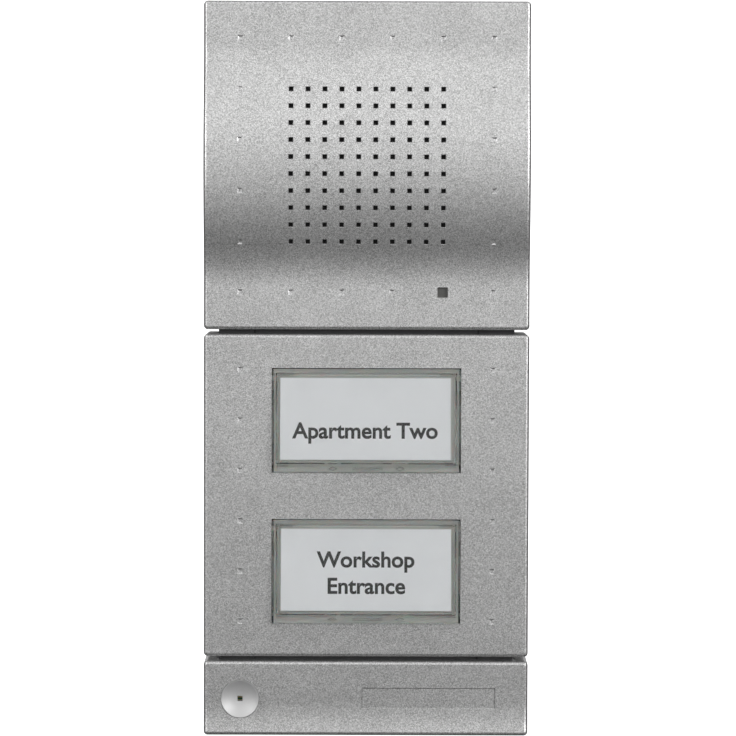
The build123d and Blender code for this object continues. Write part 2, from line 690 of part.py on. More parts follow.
def speaker_dust_cap():
    rim, rise, seat = 7.6, 1.5, 13.3
    radius = (rim ** 2 + rise ** 2) / (2 * rise)
    dome = Pos(0, 0, seat + rise - radius) * (Sphere(radius) - Sphere(radius - 0.3))
    cap = dome & rod(rim, seat, seat + rise + 1)
    return Pos(0, SPEAKER_Y, 0) * (cap + ring(rim, rim - 0.5, seat - 0.03, seat + 0.2))


def speaker_leads():
    wires = []
    for x in (-2.0, 2.0):
        points = [(x, 41.2, 12.4), (x, 37.6, 14.2), (x, 34.5, 13.6), (x, 34.5, 8.8)]
        wires.append(wire(0.5, points, 1.2))
    return group(wires)


# ---------------------------------------------------------------- microphone
def microphone_mesh():
    """A woven screen just behind the microphone window."""
    seat, thick = 20.2, 0.25
    mesh = block(MIC_WINDOW, MIC_WINDOW, seat, seat + thick, MIC_X, MIC_Y)
    step = MIC_WINDOW / 8
    for n in range(8):
        shift = (n - 3.5) * step
        mesh += block(0.18, MIC_WINDOW, seat + thick, seat + thick + 0.12, MIC_X + shift, MIC_Y)
        mesh += block(MIC_WINDOW, 0.18, seat + thick, seat + thick + 0.12, MIC_X, MIC_Y + shift)
    return mesh


def microphone_boot():
    boot = ring(4.9, 3.0, 14.2, UNDERSIDE, MIC_X, MIC_Y) + rod(4.9, 13.4, 14.2, MIC_X, MIC_Y)
    return boot - block(1.2, 3.4, 13, 15, MIC_X - 1, MIC_Y)


def microphone_capsule():
    capsule = rod(3.0, 14.2, 18.6, MIC_X, MIC_Y)
    capsule = chamfer(capsule.edges().group_by(Axis.Z)[-1], 0.3)
    return capsule - rod(1.0, 18.2, 19, MIC_X, MIC_Y)


def microphone_leads():
    wires = []
    for shift in (-0.9, 0.9):
        x, y = MIC_X - 1, MIC_Y + shift
        points = [(x, y, 14.2), (x, y, 12.2), (14, y, 12.2), (14, y, 8.6)]
        wires.append(wire(0.4, points, 1.2))
    return group(wires)


# ---------------------------------------------------------------- call buttons
def button_front(up):
    """Front of a call button, up above its middle."""
    return BUTTON_LOW + (BUTTON_SIZE[1] / 2 - up) * BUTTON_SLOPE


def wedge(width, bottom, top, depth_back, depth_front):
    """A slab that follows the button's sloping front, between two depths behind it."""
    points = [
        (bottom, button_front(bottom) - depth_back), (top, button_front(top) - depth_back),
        (top, button_front(top) - depth_front), (bottom, button_front(bottom) - depth_front),
    ]
    return side_cut(make_face(Polyline(*points, close=True)), width / 2)


def wedge_from(width, bottom, top, back, depth_front):
    """A block from a flat back to a plane behind the button's sloping front."""
    points = [
        (bottom, back), (top, back),
        (top, button_front(top) - depth_front), (bottom, button_front(bottom) - depth_front),
    ]
    return side_cut(make_face(Polyline(*points, close=True)), width / 2)


BUTTON_HALF = BUTTON_SIZE[1] / 2
CAVITY_BOTTOM = -BUTTON_HALF + WINDOW_BOTTOM
CAVITY_TOP = BUTTON_HALF - WINDOW_TOP
CAVITY_HALF = BUTTON_SIZE[0] / 2 - WINDOW_SIDE
TRAY_DEPTH = WINDOW_PANE + 0.05 + CARD_THICK + 0.05
TRAY_REST = 0.1          # play between the tray and the cap


def window_groove():
    """The cutter for the V groove that outlines the pane in the cap's sloping front."""
    low, high = -BUTTON_HALF + BEVEL_HEIGHT, BUTTON_HALF - WINDOW_LIP
    middle, half_groove, depth = (low + high) / 2, WINDOW_GROOVE / 2, 0.6 * WINDOW_GROOVE
    width, height = BUTTON_SIZE[0] - 2 * WINDOW_LIP, high - low
    outer = tapered(width, height, half_groove, depth)
    inner = tapered(width - 2 * WINDOW_GROOVE, height - 2 * WINDOW_GROOVE, 0.02 - half_groove, depth)
    lean = degrees(atan(BUTTON_SLOPE))
    return Pos(0, middle, button_front(middle)) * Rot(-lean, 0, 0) * (outer - inner)


def window_bevel():
    """The cutter that slopes the cap's front back, from the pane to the lower edge."""
    low, high = -BUTTON_HALF, -BUTTON_HALF + BEVEL_HEIGHT
    edge, pane = button_front(low) - BEVEL_DEPTH, button_front(high)
    overrun = edge - (pane - edge) / BEVEL_HEIGHT
    clear = button_front(low) + 2
    points = [(high, pane), (low - 1, overrun), (low - 1, clear), (high, clear)]
    return side_cut(make_face(Polyline(*points, close=True)), BUTTON_SIZE[0])


def window_pockets():
    """Moulded pockets in the back of the cap's walls: four corner ledges, and marks in the lower wall."""
    back, top = WINDOW_BACK - 1, WINDOW_BACK + 1.4
    side = BUTTON_SIZE[0] / 2 - WINDOW_SIDE / 2
    low, high = -BUTTON_HALF + 0.9, BUTTON_HALF - 1.9
    pockets = [block(9.2, 0.6, back, top + 1, 0.4, -BUTTON_HALF + 1.5)]
    for sign in (-1, 1):
        pockets.append(block(5.2, 0.5, back, top, sign * (side - 2.6), high))
        pockets.append(block(3.6, 0.5, back, top, sign * (side - 1.8), low + 1.6))
        pockets.append(block(0.5, 6.0, back, top, sign * side, low + 4.6))
        pockets.append(block(0.5, 4.4, back, top, sign * side, high - 7.0))
        diamond = extrude(Polygon((-1.4, 0), (0, -0.6), (1.4, 0), (0, 0.6)), amount=4)
        pockets.append(Pos(sign * STOP_X, -BUTTON_HALF + 1.5, back) * diamond)
    return pockets


def button_window(y):
    """The clear cap over a name card: a wedge whose solid walls frame the card."""
    cap = wedge_from(BUTTON_SIZE[0], -BUTTON_HALF, BUTTON_HALF, WINDOW_BACK, 0)
    side_edges = cap.edges().filter_by(Axis.Z)
    cap = fillet(side_edges, 0.5) - window_bevel()
    pane = cap.faces().filter_by(Axis.Z, reverse=True).sort_by(SortBy.AREA)[-1]
    cap = chamfer(pane.edges(), 0.2)
    cavity = wedge_from(2 * CAVITY_HALF, CAVITY_BOTTOM, CAVITY_TOP, WINDOW_BACK - 1, WINDOW_PANE)
    return Pos(0, y, 0) * (cap - [cavity, window_groove(), *window_pockets()])


def name_card(y, shift):
    middle = (CAVITY_BOTTOM + CAVITY_TOP) / 2
    depth = WINDOW_PANE + 0.05
    card = wedge(CARD[0], middle - CARD[1] / 2, middle + CARD[1] / 2, depth + CARD_THICK, depth)
    return Pos(shift, y, 0) * card


def card_tray(y):
    """The opal tray behind the card: a light box with a flange under the cap's walls, the button's
    trunnions, its stops, its spring bosses and its switch post."""
    half, low, high = CAVITY_HALF - TRAY_REST, CAVITY_BOTTOM + TRAY_REST, CAVITY_TOP - TRAY_REST
    back = TRAY_DEPTH + TRAY_THICK - 0.3
    tray = wedge(2 * half, low, high, TRAY_DEPTH + TRAY_THICK, TRAY_DEPTH)
    inner = (2 * (half - TRAY_SKIRT), high - low - 2 * TRAY_SKIRT)
    hollow = block(*inner, TRAY_BACK - 1, 30, 0, (low + high) / 2)
    tray += wedge_from(2 * half, low, high, TRAY_BACK, back) - hollow
    tray += block(BUTTON_SIZE[0] - 0.6, BUTTON_SIZE[1] - 0.6, TRAY_BACK, WINDOW_BACK - 0.1) - hollow
    hook_end = -OPENING[1] / 2 - 1.0
    for side in (-1, 1):
        trunnion = Rot(0, 90, 0) * Cylinder(HINGE_R, TRUNNION_LENGTH)
        tray += Pos(side * (TRUNNION_END - TRUNNION_LENGTH / 2), HINGE_UP, HINGE_OUT) * trunnion
        tray += span(side * STOP_X - 2.5, side * STOP_X + 2.5, hook_end, low + 1, TRAY_BACK, 19.2)
        boss = rod(2.4, 19.0, button_front(-SPRING_DOWN) - back, 0, -SPRING_DOWN)
        boss += rod(1.1, 17.6, 19.5, 0, -SPRING_DOWN)
        tray += Pos(side * SPRING_X, 0, 0) * boss
    tray += rod(1.0, 17.8, button_front(-SWITCH_DOWN) - back, 0, -SWITCH_DOWN)
    return Pos(0, y, 0) * tray


def button_springs(y):
    pair = []
    for x in (-SPRING_X, SPRING_X):
        pair.append(coil_spring(x, y - SPRING_DOWN, FRAME_FRONT, 19.0, 1.6, 0.2, 4.5))
    return group(pair)


BUTTON_BOARD_SCREWS = [(x, BUTTONS_Y + y) for x in (-28, 28) for y in (-38, 38)]


def button_frame():
    """The carrier behind the call buttons: bearings, spring seats and cover screws."""
    plate = extrude(RectangleRounded(84, 86, 3), amount=FRAME_FRONT - FRAME_BACK)
    frame = Pos(0, BUTTONS_Y, FRAME_BACK) * plate
    cuts = [rod(1.3, 12, 16, x, y) for x, y in FRAME_BOSSES]
    for y in CALL_BUTTONS.values():
        cuts.append(span(-15, 15, y - 15.2, y + 10.5, 12, 15))
        for side in (-1, 1):
            frame += block(2.2, 4.8, FRAME_BACK + 0.5, 19.8, side * 30.1, y + HINGE_UP)
            frame += rod(1.1, FRAME_FRONT - 0.5, 16.2, side * SPRING_X, y - SPRING_DOWN)
            hole = Rot(0, 90, 0) * Cylinder(HINGE_R + HINGE_CLEARANCE, 6)
            cuts.append(Pos(side * 30.1, y + HINGE_UP, HINGE_OUT) * hole)
    cuts += [rod(PILOT_R, 12, 14.2, x, y) for x, y in BUTTON_BOARD_SCREWS]
    return frame - cuts


def button_board():
    board = block(64, 86, BUTTON_BOARD_BACK, FRAME_BACK, 0, BUTTONS_Y)
    return board - [rod(1.3, 10, 14, x, y) for x, y in BUTTON_BOARD_SCREWS]


def light_board():
    board = block(84, 12.3, LIGHT_BOARD_BACK, LIGHT_BOARD_BACK + BOARD, 0, LIGHT_BOARD_Y)
    return board - [rod(1.3, 9, 13, x, y) for x, y in LIGHT_SCREWS]


SWITCHES = {f"switch_plunger_{n}": (0, y - SWITCH_DOWN, FRAME_BACK) for n, y in CALL_BUTTONS.items()}
SWITCHES["light_switch_plunger"] = (LIGHT_SWITCH_X, LIGHT_Y, LIGHT_BOARD_BACK + BOARD)


def switch_bodies():
    bodies = []
    for x, y, seat in SWITCHES.values():
        body = block(SWITCH_SIZE, SWITCH_SIZE, seat, seat + SWITCH_BODY, x, y)
        body = chamfer(body.edges().filter_by(Axis.Z), 0.4)
        leg_x = SWITCH_SIZE / 2 + 0.4
        for side_x in (-leg_x, leg_x):
            for side_y in (-2.2, 2.2):
                body += block(1.2, 0.8, seat, seat + 0.4, x + side_x, y + side_y)
        bodies.append(body - rod(PLUNGER_R + 0.1, seat + 1.5, seat + 5, x, y))
    return group(bodies)


def switch_plunger(name):
    x, y, seat = SWITCHES[name]
    top = seat + SWITCH_BODY + PLUNGER_OUT
    plunger = rod(PLUNGER_R, seat + 2.5, top, x, y)
    return chamfer(plunger.edges().group_by(Axis.Z)[-1], 0.3)


def leds():
    chips = []
    for y in CALL_BUTTONS.values():
        for x in (-10, 10):
            for shift in (-5, 6):
                chips.append(led(x, y + shift, FRAME_BACK))
    chips.append(led(LIGHT_X, LIGHT_Y, LIGHT_BOARD_BACK + BOARD))
    return group(chips)


def led(x, y, seat):
    body = block(3.0, 1.8, seat, seat + 0.6, x, y)
    return body + block(2.0, 1.4, seat + 0.6, seat + 1.0, x, y)


# ---------------------------------------------------------------- light button
def light_button():
    """A round push-button with a dished face and an arm to its switch."""
    body = rod(LIGHT_R, LIGHT_FLANGE_BACK, COVER_FACE, LIGHT_X, LIGHT_Y)
    dish_radius = (LIGHT_DISH_R ** 2 + LIGHT_DISH_DEPTH ** 2) / (2 * LIGHT_DISH_DEPTH)
    body -= Pos(LIGHT_X, LIGHT_Y, COVER_FACE - LIGHT_DISH_DEPTH + dish_radius) * Sphere(dish_radius)
    flange_front = LIGHT_FLANGE_BACK + 1
    body += rod(6.3, LIGHT_FLANGE_BACK, flange_front, LIGHT_X, LIGHT_Y)
    body += span(LIGHT_X, LIGHT_SWITCH_X + 2, LIGHT_Y - 2, LIGHT_Y + 2, LIGHT_FLANGE_BACK, flange_front)
    body += rod(1.2, 17.1, LIGHT_FLANGE_BACK + 0.5, LIGHT_SWITCH_X, LIGHT_Y)
    return body - block(LIGHT_WINDOW, LIGHT_WINDOW, 17, 23, LIGHT_X, LIGHT_Y)


def light_button_window():
    return block(LIGHT_WINDOW, LIGHT_WINDOW, 16.4, COVER_FACE - LIGHT_DISH_DEPTH + 0.1, LIGHT_X, LIGHT_Y)


def light_button_spring():
    return coil_spring(LIGHT_X, LIGHT_Y, LIGHT_BOARD_BACK + BOARD, LIGHT_FLANGE_BACK, 4.3, 0.25, 4)


# ---------------------------------------------------------------- fasteners
def board_screws():
    screws = [screw(x, y, AUDIO_BOARD_FRONT, 1.8) for x, y in AUDIO_SCREWS]
    screws += [screw(x, y, LIGHT_BOARD_BACK + BOARD, 6.8) for x, y in LIGHT_SCREWS]
    screws += [screw(x, y, BUTTON_BOARD_BACK, 13.9, -1) for x, y in BUTTON_BOARD_SCREWS]
    return group(screws)


def cover_screws():
    screws = [screw(x, y, CARRIER_BACK, 21.3, -1) for x, y in SPEAKER_BOSSES]
    screws += [screw(x, y, FRAME_BACK, 20.2, -1) for x, y in FRAME_BOSSES]
    return group(screws)


# ---------------------------------------------------------------- write every piece
def build():
    save("wall_base", wall_base())
    save("wall_seal", wall_seal())
    save("speaker_cover", speaker_cover())
    save("button_cover", button_cover())
    save("info_cover", info_cover())
    save("terminal_block", terminal_block())
    save("terminal_screws", terminal_screws())
    save("audio_board", audio_board())
    save("audio_chips", audio_chips())
    save("audio_capacitors", audio_capacitors())
    save("line_transformer", line_transformer())
    save("trimmer_bodies", trimmer_bodies())
    for name in TRIMMERS:
        save(name, trimmer_rotor(name))
    save("ribbon_sockets", ribbon_sockets())
    save("upper_ribbon", flat_cable(UPPER_SOCKETS[0] - 2, 9.0, UPPER_SOCKETS[1] + 2, 9.0))
    save("lower_ribbon", flat_cable(LOWER_SOCKETS[0] - 2, 9.0, LOWER_SOCKETS[1] + 2, 8.2))
    save("wire_headers", wire_headers())
    save("bus_wires", bus_wires())
    save("grille_membrane", grille_membrane())
    save("speaker_gasket", speaker_gasket())
    save("speaker_carrier", speaker_carrier())
    save("speaker_basket", speaker_basket())
    for name, shape in speaker_magnet_parts().items():
        save(name, shape)
    save("speaker_cone", speaker_cone())
    save("speaker_surround", speaker_surround())
    save("speaker_spider", speaker_spider())
    save("voice_coil", voice_coil())
    save("speaker_dust_cap", speaker_dust_cap())
    save("speaker_leads", speaker_leads())
    save("microphone_mesh", microphone_mesh())
    save("microphone_boot", microphone_boot())
    save("microphone_capsule", microphone_capsule())
    save("microphone_leads", microphone_leads())
    for number, y in CALL_BUTTONS.items():
        save(f"button_window_{number}", button_window(y))
        save(f"name_card_{number}", name_card(y, CARD_SHIFT[number]))
        save(f"card_tray_{number}", card_tray(y))
        save(f"button_springs_{number}", button_springs(y))
    save("button_frame", button_frame())
    save("button_board", button_board())
    save("light_board", light_board())
    save("switch_bodies", switch_bodies())
    for name in SWITCHES:
        save(name, switch_plunger(name))
    save("leds", leds())
    save("light_button", light_button())
    save("light_button_window", light_button_window())
    save("light_button_spring", light_button_spring())
    save("board_screws", board_screws())
    save("cover_screws", cover_screws())


build()
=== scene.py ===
"""Looks of the door intercom panel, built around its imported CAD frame. Lengths are in metres."""
import json
import math

import bmesh
import bpy
from mathutils import Matrix, Vector


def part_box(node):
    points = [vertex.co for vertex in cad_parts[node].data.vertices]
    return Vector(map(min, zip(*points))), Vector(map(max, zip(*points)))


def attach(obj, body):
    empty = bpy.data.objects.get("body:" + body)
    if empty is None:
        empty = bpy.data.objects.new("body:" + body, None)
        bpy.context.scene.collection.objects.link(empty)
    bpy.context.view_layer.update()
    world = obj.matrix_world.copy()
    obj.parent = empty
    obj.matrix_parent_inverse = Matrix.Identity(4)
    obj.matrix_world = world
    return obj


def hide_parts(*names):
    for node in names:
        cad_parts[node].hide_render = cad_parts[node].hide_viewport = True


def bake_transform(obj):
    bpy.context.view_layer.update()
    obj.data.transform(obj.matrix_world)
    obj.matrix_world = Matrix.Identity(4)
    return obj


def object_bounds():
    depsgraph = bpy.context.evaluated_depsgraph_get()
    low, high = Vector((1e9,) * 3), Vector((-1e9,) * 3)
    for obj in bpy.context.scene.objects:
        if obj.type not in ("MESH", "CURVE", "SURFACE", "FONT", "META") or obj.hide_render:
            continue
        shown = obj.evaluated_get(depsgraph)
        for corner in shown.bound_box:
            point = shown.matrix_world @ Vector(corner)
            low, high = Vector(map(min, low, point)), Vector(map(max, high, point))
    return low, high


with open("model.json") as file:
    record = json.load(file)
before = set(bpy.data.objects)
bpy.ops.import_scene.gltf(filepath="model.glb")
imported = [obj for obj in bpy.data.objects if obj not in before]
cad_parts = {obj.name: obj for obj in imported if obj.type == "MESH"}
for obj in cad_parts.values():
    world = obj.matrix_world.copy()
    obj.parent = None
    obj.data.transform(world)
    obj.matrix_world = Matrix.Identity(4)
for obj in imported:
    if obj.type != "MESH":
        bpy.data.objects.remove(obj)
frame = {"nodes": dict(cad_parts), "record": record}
CAD_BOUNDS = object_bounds()
NODES = frame["nodes"]
MM = 0.001

scene = bpy.context.scene
scene.view_settings.view_transform = "Standard"


# ---------------------------------------------------------------- node helpers
# A Mix node has sockets for numbers, vectors and colours. These are the ones for colours.
MIX_FACTOR, MIX_A, MIX_B, MIX_RESULT = 0, 6, 7, 2


class Surface:
    """A material's node tree, with short calls for the nodes that the materials below share."""

    def __init__(self, name):
        self.material = bpy.data.materials.new(name)
        self.material.use_nodes = True
        self.tree = self.material.node_tree
        self.tree.nodes.clear()
        self.shader = self.node("ShaderNodeBsdfPrincipled")
        output = self.node("ShaderNodeOutputMaterial")
        self.link(self.shader.outputs[0], output.inputs["Surface"])
        self.place = self.node("ShaderNodeTexCoord").outputs["Object"]

    def node(self, kind, **inputs):
        """A new node. Each keyword is one of its sockets, with _ for a space."""
        node = self.tree.nodes.new(kind)
        for name, value in inputs.items():
            self.set(node.inputs[name.replace("_", " ")], value)
        return node

    def link(self, source, socket):
        self.tree.links.new(source, socket)

    def set(self, socket, value):
        if isinstance(value, bpy.types.NodeSocket):
            self.link(value, socket)
        else:
            socket.default_value = value

    def principled(self, **inputs):
        for name, value in inputs.items():
            self.set(self.shader.inputs[name.replace("_", " ")], value)

    def stretched(self, scale):
        """The place on the piece, scaled along each axis, for noise that runs in one direction."""
        return self.node("ShaderNodeMapping", Vector=self.place, Scale=scale).outputs[0]

    def noise(self, size, detail=3.0, roughness=0.55, place=None):
        """Noise whose blotches are about size across."""
        node = self.node("ShaderNodeTexNoise", Vector=place or self.place, Scale=1 / size, Detail=detail,
                         Roughness=roughness)
        return node.outputs["Fac"]

    def cells(self, size):
        """A random grey for each cell of a Voronoi pattern, whose cells are about size across."""
        node = self.node("ShaderNodeTexVoronoi", Vector=self.place, Scale=1 / size)
        split = self.node("ShaderNodeSeparateColor", Color=node.outputs["Color"])
        return split.outputs[0]

    def bands(self, size, direction):
        """Soft stripes along X or Z."""
        node = self.node("ShaderNodeTexWave", Vector=self.place, Scale=1 / size / 3.0)
        node.bands_direction = direction
        return node.outputs["Fac"]

    def math(self, operation, a, b):
        node = self.node("ShaderNodeMath")
        node.operation = operation
        self.set(node.inputs[0], a)
        self.set(node.inputs[1], b)
        return node.outputs[0]

    def remap(self, value, low, high, from_low=0.0, from_high=1.0):
        """Value, which runs from from_low to from_high, spread over low to high."""
        node = self.node("ShaderNodeMapRange", Value=value, From_Min=from_low, From_Max=from_high,
                         To_Min=low, To_Max=high)
        return node.outputs[0]

    def mix(self, factor, a, b):
        node = self.tree.nodes.new("ShaderNodeMix")
        node.data_type = "RGBA"
        self.set(node.inputs[MIX_FACTOR], factor)
        self.set(node.inputs[MIX_A], (*a, 1) if isinstance(a, tuple) else a)
        self.set(node.inputs[MIX_B], (*b, 1) if isinstance(b, tuple) else b)
        return node.outputs[MIX_RESULT]

    def bump(self, height, depth):
        return self.node("ShaderNodeBump", Height=height, Strength=1.0, Distance=depth).outputs[0]


def shade(colour, factor):
    """A darker or lighter version of a colour."""
    return tuple(min(1.0, c * factor) for c in colour)


# ---------------------------------------------------------------- materials
def silver_lacquer():
    """Satin silver metallic lacquer: light and dark flakes, a soft orange-peel and slight clouding."""
    s = Surface("silver_lacquer")
    flakes = s.cells(0.19 * MM)
    grain = s.noise(0.9 * MM, detail=2.0, roughness=0.7)
    cloud = s.noise(14 * MM, detail=2.0)
    tone = s.math("ADD", flakes, s.remap(grain, -0.05, 0.05, 0.3, 0.7))
    tone = s.math("ADD", tone, s.remap(cloud, -0.05, 0.05, 0.3, 0.7))
    colour = s.mix(tone, (0.34, 0.34, 0.338), (0.91, 0.91, 0.907))
    s.principled(Base_Color=colour, Metallic=0.82, Roughness=s.remap(grain, 0.32, 0.39, 0.3, 0.7),
                 Normal=s.bump(s.math("ADD", flakes, grain), 0.006 * MM), Coat_Weight=0.1,
                 Coat_Roughness=0.35)
    return s.material


def satin_silver():
    """Smooth satin silver without flakes, for the light button."""
    s = Surface("satin_silver")
    fine = s.noise(0.4 * MM, detail=2.0)
    cloud = s.noise(3 * MM, detail=1.0)
    tone = s.mix(cloud, (0.58, 0.58, 0.58), (0.65, 0.65, 0.65))
    s.principled(Base_Color=tone, Metallic=0.6, Roughness=s.remap(fine, 0.50, 0.56, 0.3, 0.7),
                 Normal=s.bump(fine, 0.002 * MM))
    return s.material


def moulded_plastic(name, colour, roughness=0.5, grain=0.35):
    """Moulded plastic with a fine eroded grain."""
    s = Surface(name)
    fine = s.noise(grain * MM, detail=2.0)
    broad = s.noise(6 * MM)
    tone = s.mix(s.remap(broad, 0, 1, 0.3, 0.7), shade(colour, 0.9), shade(colour, 1.1))
    s.principled(Base_Color=tone, Roughness=s.remap(fine, roughness - 0.06, roughness + 0.08, 0.3, 0.7),
                 Normal=s.bump(fine, 0.02 * MM))
    return s.material


def plated_metal(name, colour, roughness=0.32, direction=(1, 1, 30)):
    """Plated or drawn metal with fine lines along its working direction."""
    s = Surface(name)
    lines = s.noise(0.6 * MM, detail=3.0, place=s.stretched(direction))
    blotch = s.noise(3 * MM)
    tone = s.mix(s.remap(blotch, 0, 1, 0.3, 0.7), shade(colour, 0.85), shade(colour, 1.1))
    s.principled(Base_Color=tone, Metallic=1.0, Roughness=s.remap(lines, roughness - 0.08, roughness + 0.1),
                 Normal=s.bump(lines, 0.006 * MM))
    return s.material


def soft_rubber(name, colour, pore=0.5):
    """Rubber or closed-cell foam with small pores."""
    s = Surface(name)
    pores = s.cells(pore * MM)
    dust = s.noise(4 * MM)
    tone = s.mix(s.remap(dust, 0, 1, 0.35, 0.7), colour, shade(colour, 1.6))
    s.principled(Base_Color=tone, Roughness=0.85, Normal=s.bump(pores, 0.05 * MM))
    return s.material


def woven_cloth(name, colour, pitch=0.5):
    """Plain weave: two crossed sets of threads."""
    s = Surface(name)
    warp, weft = s.bands(pitch * MM, "X"), s.bands(pitch * MM, "Z")
    weave = s.math("MAXIMUM", warp, weft)
    tone = s.mix(weave, shade(colour, 0.4), colour)
    s.principled(Base_Color=tone, Roughness=0.9, Sheen_Weight=0.2, Normal=s.bump(weave, 0.08 * MM))
    return s.material


def circuit_board():
    """Green solder mask over copper tracks, with the weave of the glass just showing."""
    s = Surface("circuit_board")
    tracks = s.node("ShaderNodeTexBrick", Vector=s.stretched((1, 0, 1)), Scale=260.0, Mortar_Size=0.06)
    weave = s.math("MULTIPLY", s.bands(0.6 * MM, "X"), s.bands(0.6 * MM, "Z"))
    tone = s.mix(tracks.outputs["Fac"], (0.012, 0.11, 0.045), (0.03, 0.22, 0.09))
    tone = s.mix(s.remap(weave, 0, 0.12), tone, (0.10, 0.30, 0.16))
    s.principled(Base_Color=tone, Roughness=0.28, Coat_Weight=0.4, Coat_Roughness=0.15,
                 Normal=s.bump(tracks.outputs["Fac"], 0.04 * MM))
    return s.material


def paper(name, colour, fibre=0.25, cloud=0.02, glow=0.0):
    """Card or pressed paper with short fibres; glow is the light that comes through a lit name card."""
    s = Surface(name)
    fibres = s.noise(fibre * MM, detail=4.0, place=s.stretched((1, 1, 2.5)))
    broad = s.noise(9 * MM)
    tone = s.mix(s.remap(broad, 0, 1, 0.3, 0.7), shade(colour, 1 - cloud), shade(colour, 1 + cloud))
    s.principled(Base_Color=tone, Roughness=0.8, Normal=s.bump(fibres, 0.008 * MM),
                 Emission_Color=(0.95, 0.97, 1, 1), Emission_Strength=glow)
    return s.material


def clear_plastic():
    """Clear polycarbonate with faint moulding ripples and a soft gloss."""
    s = Surface("clear_plastic")
    ripple = s.noise(5 * MM, detail=1.0)
    s.principled(Base_Color=(0.96, 0.965, 0.955, 1), Transmission_Weight=1.0, IOR=1.49,
                 Specular_IOR_Level=0.12, Roughness=s.remap(ripple, 0.02, 0.06),
                 Normal=s.bump(ripple, 0.01 * MM))
    return s.material


def opal_plastic():
    """Milky plastic that spreads the light of the LEDs."""
    s = Surface("opal_plastic")
    flow = s.noise(7 * MM, detail=2.0)
    tone = s.mix(flow, (0.45, 0.46, 0.44), (0.52, 0.53, 0.50))
    s.principled(Base_Color=tone, Roughness=0.4, Subsurface_Weight=0.3, Subsurface_Scale=0.002,
                 Normal=s.bump(flow, 0.01 * MM))
    return s.material


def led_package():
    """Yellow phosphor under clear resin."""
    s = Surface("led_package")
    phosphor = s.noise(0.3 * MM)
    tone = s.mix(phosphor, (0.90, 0.72, 0.20), (0.95, 0.86, 0.45))
    s.principled(Base_Color=tone, Roughness=0.3, Coat_Weight=0.5, Normal=s.bump(phosphor, 0.01 * MM))
    return s.material


def printed_ink():
    """Black toner."""
    s = Surface("printed_ink")
    toner = s.noise(0.15 * MM)
    tone = s.mix(toner, (0.004, 0.004, 0.004), (0.012, 0.012, 0.012))
    s.principled(Base_Color=tone, Roughness=s.remap(toner, 0.5, 0.7), Specular_IOR_Level=0.1)
    return s.material


MATERIALS = {
    "silver_lacquer": silver_lacquer(),
    "satin_silver": satin_silver(),
    "base_plastic": moulded_plastic("base_plastic", (0.035, 0.036, 0.038)),
    "frame_plastic": moulded_plastic("frame_plastic", (0.03, 0.03, 0.032), 0.45),
    "foam": soft_rubber("foam", (0.03, 0.03, 0.03), 0.6),
    "rubber_part": soft_rubber("rubber_part", (0.02, 0.02, 0.022), 0.3),
    "acoustic_cloth": woven_cloth("acoustic_cloth", (0.012, 0.012, 0.012)),
    "microphone_screen": plated_metal("microphone_screen", (0.15, 0.15, 0.145), 0.45),
    "spider_cloth": woven_cloth("spider_cloth", (0.50, 0.33, 0.12)),
    "cone_paper": paper("cone_paper", (0.03, 0.03, 0.03), 0.5, 0.2),
    "copper": plated_metal("copper", (0.72, 0.33, 0.14), 0.3, (1, 40, 1)),
    "basket_steel": moulded_plastic("basket_steel", (0.02, 0.02, 0.022), 0.4, 0.6),
    "plated_steel": plated_metal("plated_steel", (0.62, 0.61, 0.58)),
    "spring_steel": plated_metal("spring_steel", (0.55, 0.55, 0.56), 0.25),
    "ferrite": moulded_plastic("ferrite", (0.03, 0.03, 0.031), 0.7, 0.2),
    "wire_insulation": moulded_plastic("wire_insulation", (0.40, 0.03, 0.02), 0.45, 0.8),
    "circuit_board": circuit_board(),
    "component_black": moulded_plastic("component_black", (0.015, 0.015, 0.016), 0.5, 0.2),
    "capacitor_can": plated_metal("capacitor_can", (0.66, 0.67, 0.69), 0.3, (1, 30, 1)),
    "trimmer_blue": moulded_plastic("trimmer_blue", (0.03, 0.12, 0.42), 0.35),
    "white_plastic": moulded_plastic("white_plastic", (0.72, 0.72, 0.70), 0.4),
    "terminal_green": moulded_plastic("terminal_green", (0.05, 0.26, 0.10), 0.35),
    "flat_cable": moulded_plastic("flat_cable", (0.66, 0.66, 0.63), 0.35, 1.0),
    "clear_plastic": clear_plastic(),
    "card_paper": paper("card_paper", (0.82, 0.835, 0.865), glow=0.04),
    "opal_plastic": opal_plastic(),
    "led_package": led_package(),
    "printed_ink": printed_ink(),
}
OWN_FINISH = {"light_button": "satin_silver"}    # CAD nodes that differ from their slot's material


def dress_cad_nodes():
    """Give every CAD node the procedural material of its slot, or its own finish."""
    for part in frame["record"]["subparts"]:
        node = NODES[part["node"]]
        node.data.materials.clear()
        node.data.materials.append(MATERIALS[OWN_FINISH.get(part["node"], part["material_slot"])])


# ---------------------------------------------------------------- springs and suspension
# Each of these CAD nodes stretches between the fixed panel and a moving body. Its fixed end is at
# the given distance in front of the wall.
STRETCHED = {
    "button_springs_1": ("call_button_1", 14.6 * MM),
    "button_springs_2": ("call_button_2", 14.6 * MM),
    "light_button_spring": ("light_button", 11.6 * MM),
    "speaker_surround": ("speaker_cone", 17.8 * MM),
    "speaker_spider": ("speaker_cone", 12.0 * MM),
}


def stretching_piece(node, slot, body, fixed_end):
    """A copy of a CAD node, put in its place while the node itself is hidden."""
    piece = bpy.data.objects.new(f"{node}_stretching", NODES[node].data.copy())
    scene.collection.objects.link(piece)
    piece.matrix_world = NODES[node].matrix_world.copy()
    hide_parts(node)
    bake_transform(piece)


